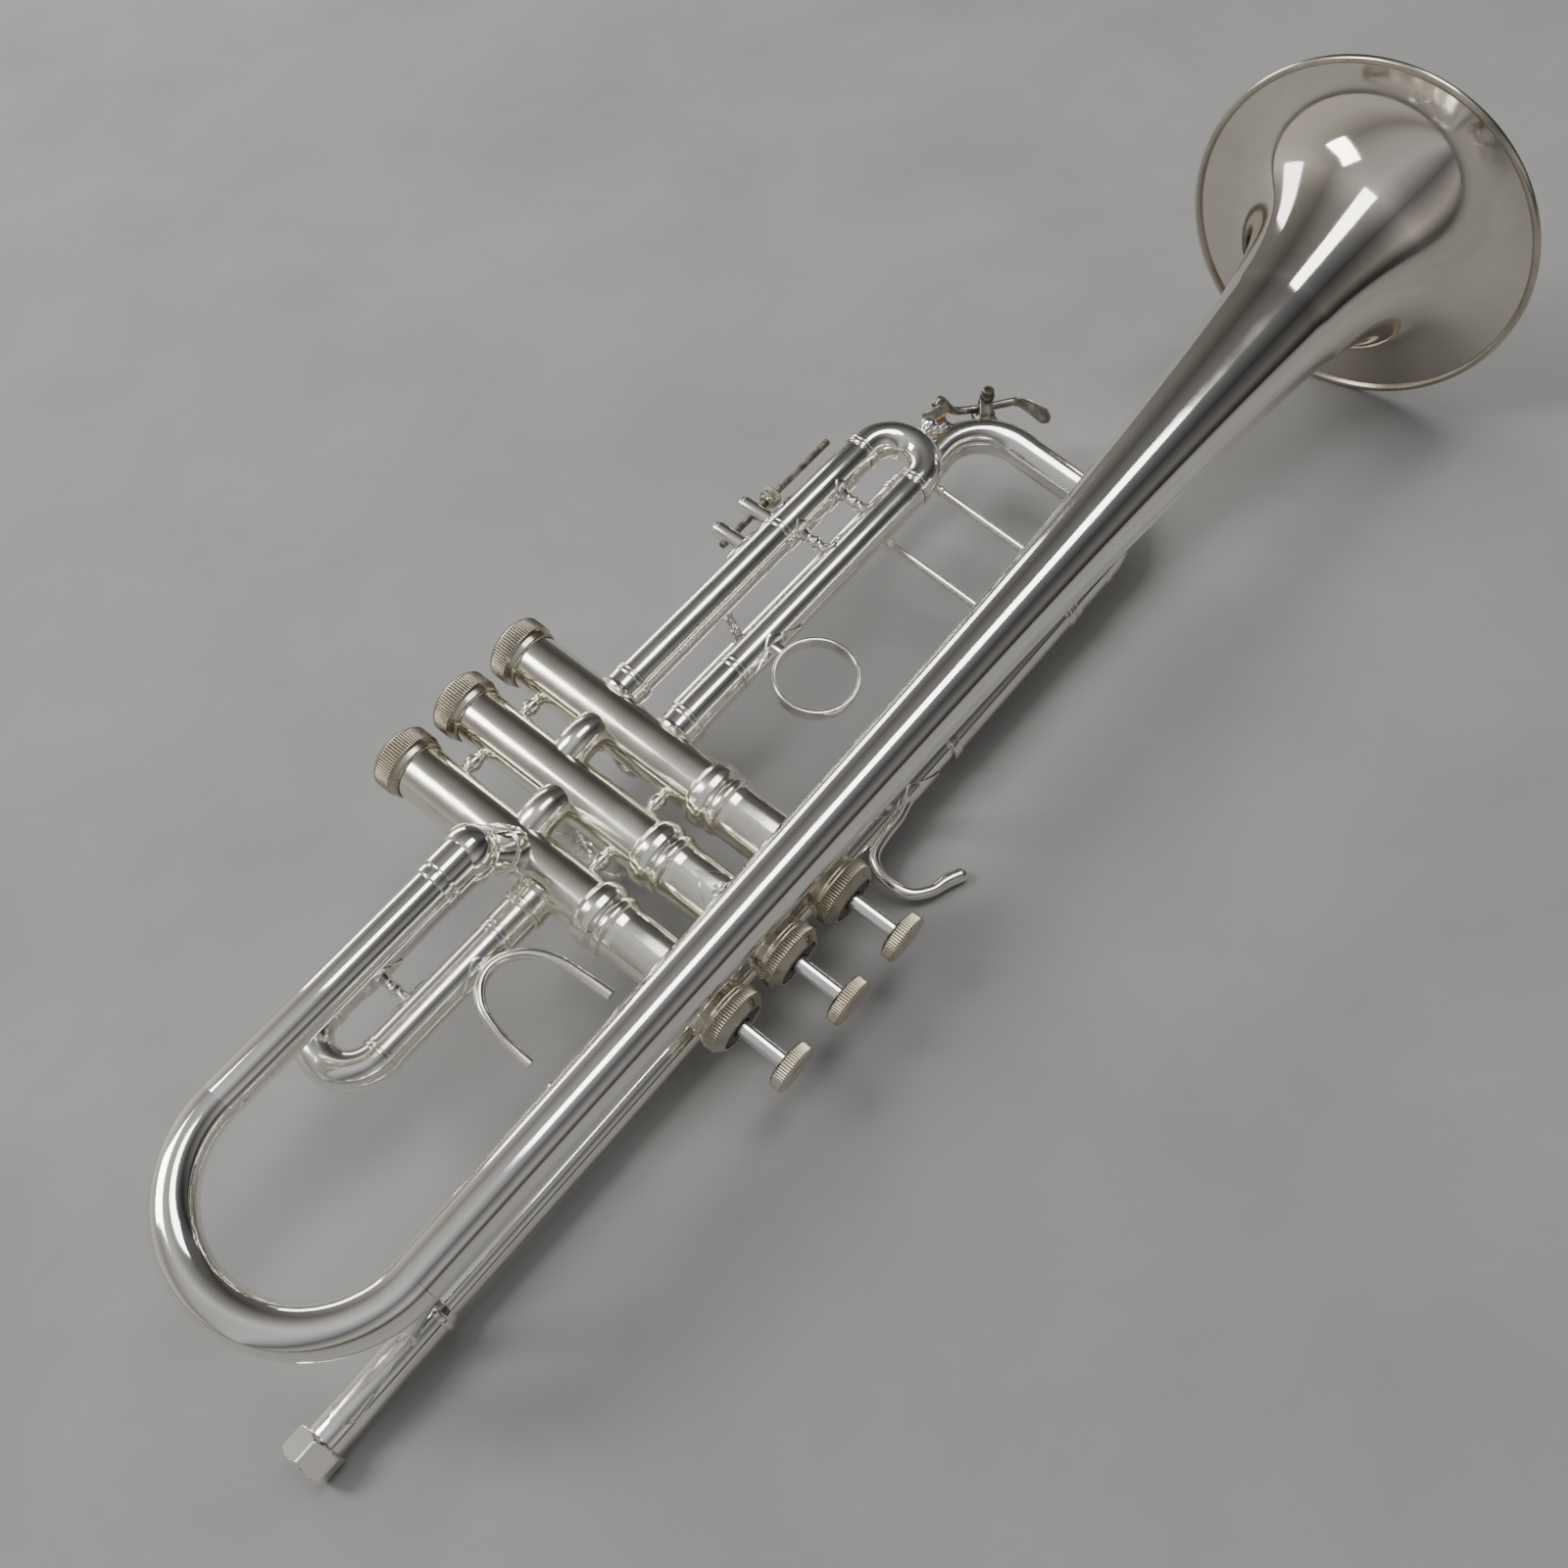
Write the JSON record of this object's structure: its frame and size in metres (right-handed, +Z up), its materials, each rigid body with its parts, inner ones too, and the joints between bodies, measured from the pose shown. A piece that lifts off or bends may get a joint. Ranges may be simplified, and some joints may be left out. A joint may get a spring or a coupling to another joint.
{
  "type": "cornet",
  "caption": "Valved brass wind instrument with a flared bell, piston valves, pull-out tuning slides, water key, thumb saddle and finger ring.",
  "frame": {"origin": "centre of the bounding box at the surface the instrument lies on", "axes": "+X forward along the bell, +Z up from the surface the instrument lies on, -Y roughly towards the finger buttons"},
  "size_m": [0.5068, 0.1874, 0.1206],
  "materials": {
    "silver_plate": "polished silver plate over brass, lightly tarnished",
    "cap_nickel": "worn satin silver plate over brass",
    "dark_nickel": "oxidised nickel silver",
    "piston_nickel": "honed nickel alloy",
    "spring_steel": "drawn wire",
    "felt": "dense felt",
    "cork": "natural cork"
  },
  "bodies": {
    "body": {"valve_casing_1": "silver_plate", "valve_casing_2": "silver_plate", "valve_casing_3": "silver_plate", "crossover_knuckles": "silver_plate", "casing_struts": "silver_plate", "bell": "silver_plate", "bell_rim": "silver_plate", "bell_bow": "silver_plate", "bell_tail": "silver_plate", "tail_elbow": "silver_plate", "leadpipe": "silver_plate", "mouthpiece_receiver": "silver_plate", "receiver_rings": "silver_plate", "main_slide_sleeves": "silver_plate", "fixed_slide_braces": "silver_plate", "slide_1_sleeves": "silver_plate", "slide_2_sleeves": "silver_plate", "slide_3_sleeves": "silver_plate", "stop_post_fixed": "silver_plate", "stop_rod": "dark_nickel", "bell_braces": "silver_plate", "finger_hook": "silver_plate"},
    "valve_1": {"piston_1": "piston_nickel", "valve_stem_1": "silver_plate", "finger_button_1": "cap_nickel", "valve_spring_1": "spring_steel"},
    "top_cap_body_1": {"top_cap_1": "cap_nickel", "top_felt_1": "felt"},
    "bottom_cap_body_1": {"bottom_cap_1": "cap_nickel"},
    "valve_2": {"piston_2": "piston_nickel", "valve_stem_2": "silver_plate", "finger_button_2": "cap_nickel", "valve_spring_2": "spring_steel"},
    "top_cap_body_2": {"top_cap_2": "cap_nickel", "top_felt_2": "felt"},
    "bottom_cap_body_2": {"bottom_cap_2": "cap_nickel"},
    "valve_3": {"piston_3": "piston_nickel", "valve_stem_3": "silver_plate", "finger_button_3": "cap_nickel", "valve_spring_3": "spring_steel"},
    "top_cap_body_3": {"top_cap_3": "cap_nickel", "top_felt_3": "felt"},
    "bottom_cap_body_3": {"bottom_cap_3": "cap_nickel"},
    "tuning_slide_body": {"tuning_slide": "silver_plate", "tuning_slide_brace": "silver_plate", "water_key_fittings": "silver_plate", "pivot_screw": "dark_nickel", "key_spring": "spring_steel"},
    "water_key": {"water_lever": "dark_nickel", "water_cork": "cork"},
    "slide_1": {"slide_1_crook": "silver_plate", "thumb_saddle": "silver_plate"},
    "slide_2": {"slide_2_crook": "silver_plate"},
    "slide_3": {"slide_3_legs": "silver_plate", "slide_3_braces": "silver_plate", "finger_ring": "silver_plate", "stop_post_moving": "silver_plate"},
    "slide_3_end": {"slide_3_end_crook": "silver_plate"},
    "stop_nut_body": {"stop_nut": "dark_nickel"}
  },
  "joints": [
    {"name": "valve_1_press", "type": "slide", "parent": "body", "child": "valve_1", "axis": [-0.001, 0.964, 0.2661], "range_m": [0, 0.0147], "stiffness_N_per_m": 110, "springref_m": -0.02, "deforming": ["valve_spring_1"]},
    {"name": "top_cap_1_screw", "type": "hinge", "parent": "body", "child": "top_cap_body_1", "pos_m": [-0.08981, -0.03637, 0.03068], "axis": [0.001, -0.964, -0.2661], "range_deg": [0, 720]},
    {"name": "bottom_cap_1_screw", "type": "hinge", "parent": "body", "child": "bottom_cap_body_1", "pos_m": [-0.08994, 0.08701, 0.06473], "axis": [-0.001, 0.964, 0.2661], "range_deg": [0, 720]},
    {"name": "valve_2_press", "type": "slide", "parent": "body", "child": "valve_2", "axis": [-0.001, 0.964, 0.2661], "range_m": [0, 0.0147], "stiffness_N_per_m": 110, "springref_m": -0.02, "deforming": ["valve_spring_2"]},
    {"name": "top_cap_2_screw", "type": "hinge", "parent": "body", "child": "top_cap_body_2", "pos_m": [-0.06441, -0.03637, 0.03077], "axis": [0.001, -0.964, -0.2661], "range_deg": [0, 720]},
    {"name": "bottom_cap_2_screw", "type": "hinge", "parent": "body", "child": "bottom_cap_body_2", "pos_m": [-0.06454, 0.08701, 0.06483], "axis": [-0.001, 0.964, 0.2661], "range_deg": [0, 720]},
    {"name": "valve_3_press", "type": "slide", "parent": "body", "child": "valve_3", "axis": [-0.001, 0.964, 0.2661], "range_m": [0, 0.0147], "stiffness_N_per_m": 110, "springref_m": -0.02, "deforming": ["valve_spring_3"]},
    {"name": "top_cap_3_screw", "type": "hinge", "parent": "body", "child": "top_cap_body_3", "pos_m": [-0.03901, -0.03637, 0.03087], "axis": [0.001, -0.964, -0.2661], "range_deg": [0, 720]},
    {"name": "bottom_cap_3_screw", "type": "hinge", "parent": "body", "child": "bottom_cap_body_3", "pos_m": [-0.03914, 0.08701, 0.06493], "axis": [-0.001, 0.964, 0.2661], "range_deg": [0, 720]},
    {"name": "tuning_slide_pull", "type": "slide", "parent": "body", "child": "tuning_slide_body", "axis": [1, 0, 0.0038], "range_m": [0, 0.03]},
    {"name": "water_key_open", "type": "hinge", "parent": "tuning_slide_body", "child": "water_key", "pos_m": [0.15209, 0.04914, 0.03186], "axis": [0.0037, 0.2661, -0.9639], "range_deg": [0, 14], "stiffness_Nm_per_rad": 0.02, "springref_deg": -28.65},
    {"name": "slide_1_pull", "type": "slide", "parent": "body", "child": "slide_1", "axis": [-1, 0, -0.0038], "range_m": [0, 0.011]},
    {"name": "slide_2_pull", "type": "slide", "parent": "body", "child": "slide_2", "axis": [0.0037, 0.2661, -0.9639], "range_m": [0, 0.011]},
    {"name": "slide_3_pull", "type": "slide", "parent": "body", "child": "slide_3", "axis": [1, 0, 0.0038], "range_m": [0, 0.016]},
    {"name": "slide_3_end_pull", "type": "slide", "parent": "slide_3", "child": "slide_3_end", "axis": [1, 0, 0.0038], "range_m": [0, 0.012]},
    {"name": "stop_nut_run", "type": "slide", "parent": "body", "child": "stop_nut_body", "axis": [1, 0, 0.0038], "range_m": [0, 0.016]}
  ],
  "couplings": [
    {"joint": "stop_nut_run", "follows": "slide_3_pull", "ratio": 1}
  ]
}
